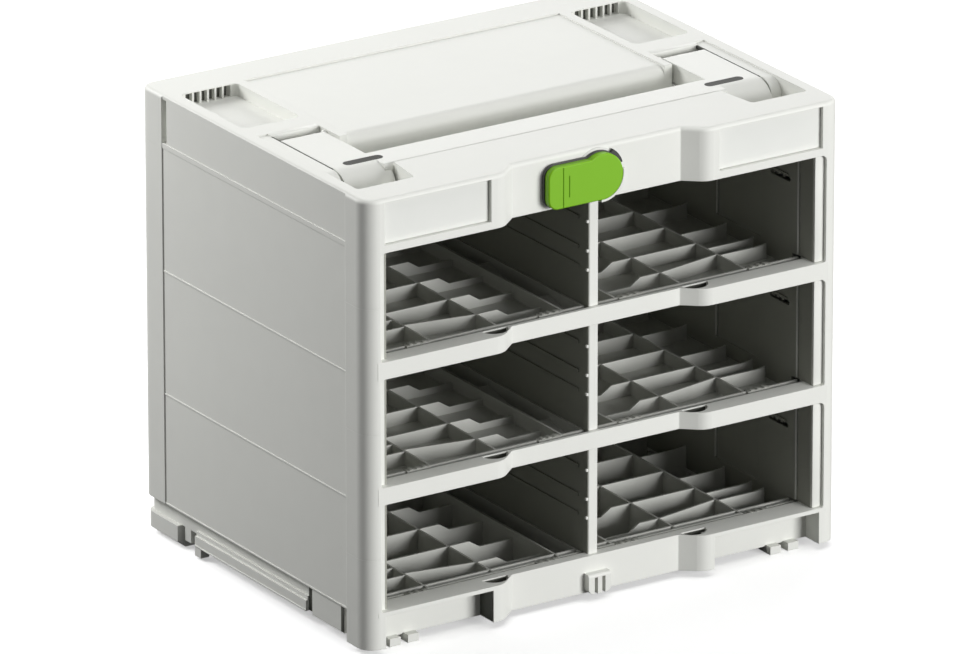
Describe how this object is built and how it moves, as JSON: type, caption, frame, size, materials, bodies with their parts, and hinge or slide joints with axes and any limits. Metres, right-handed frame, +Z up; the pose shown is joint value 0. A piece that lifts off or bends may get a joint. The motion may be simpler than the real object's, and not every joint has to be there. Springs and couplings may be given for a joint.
{
  "type": "tool case rack",
  "caption": "Stackable plastic rack whose open-fronted bays hold small parts cases, with a folding carry handle in its lid and a rotary coupling latch.",
  "frame": {"origin": "centre of the footprint, on the surface that the feet rest on", "axes": "+X to the right seen from the front, +Y to the back, +Z up"},
  "size_m": [0.396, 0.296, 0.3369],
  "materials": {
    "shell_plastic": "fine matte",
    "handle_plastic": "fine matte",
    "lining_plastic": "matte",
    "divider_plastic": "matte",
    "tray_plastic": "matte",
    "label_plastic": "satin",
    "pin_plastic": "satin",
    "latch_plastic": "satin",
    "cam_plastic": "matte"
  },
  "bodies": {
    "root": {"top_cover": "shell_plastic", "front_frame_base": "shell_plastic", "front_frame_lower": "shell_plastic", "front_frame_upper": "shell_plastic", "base_tray": "shell_plastic", "front_catch": "shell_plastic", "back_panel_lower": "shell_plastic", "back_panel_middle": "shell_plastic", "back_panel_upper": "shell_plastic", "side_panel_left_lower": "shell_plastic", "side_panel_left_middle": "shell_plastic", "side_panel_left_upper": "shell_plastic", "side_panel_right_lower": "shell_plastic", "side_panel_right_middle": "shell_plastic", "side_panel_right_upper": "shell_plastic", "rear_post_left": "shell_plastic", "rear_post_right": "shell_plastic", "docking_rail_left": "shell_plastic", "docking_rail_right": "shell_plastic", "rear_foot_left": "shell_plastic", "rear_foot_right": "shell_plastic", "front_feet_left": "shell_plastic", "front_feet_right": "shell_plastic", "divider_post_lower": "shell_plastic", "divider_post_middle": "shell_plastic", "divider_post_upper": "shell_plastic", "bay_liner_left_lower": "lining_plastic", "bay_liner_left_middle": "lining_plastic", "bay_liner_left_upper": "lining_plastic", "bay_liner_right_lower": "lining_plastic", "bay_liner_right_middle": "lining_plastic", "bay_liner_right_upper": "lining_plastic", "ceiling_panel": "lining_plastic", "bay_divider_lower": "divider_plastic", "bay_divider_middle": "divider_plastic", "bay_divider_upper": "divider_plastic", "bay_tray_left_lower": "tray_plastic", "bay_tray_left_middle": "tray_plastic", "bay_tray_left_upper": "tray_plastic", "bay_tray_right_lower": "tray_plastic", "bay_tray_right_middle": "tray_plastic", "bay_tray_right_upper": "tray_plastic", "label_plate_left": "label_plastic", "label_plate_right": "label_plastic", "handle_pin_left": "pin_plastic", "handle_pin_right": "pin_plastic", "latch_pin": "pin_plastic"},
    "handle": {"carry_handle": "handle_plastic"},
    "latch": {"latch_lever": "latch_plastic", "latch_cam": "cam_plastic"}
  },
  "joints": [
    {"name": "handle_hinge", "type": "hinge", "parent": "root", "child": "handle", "pos_m": [0, -0.0075, 0.329], "axis": [-1, 0, 0], "range_deg": [0, 90]},
    {"name": "latch_turn", "type": "hinge", "parent": "root", "child": "latch", "pos_m": [0, -0.14, 0.3163], "axis": [0, 1, 0], "range_deg": [0, 90]}
  ]
}
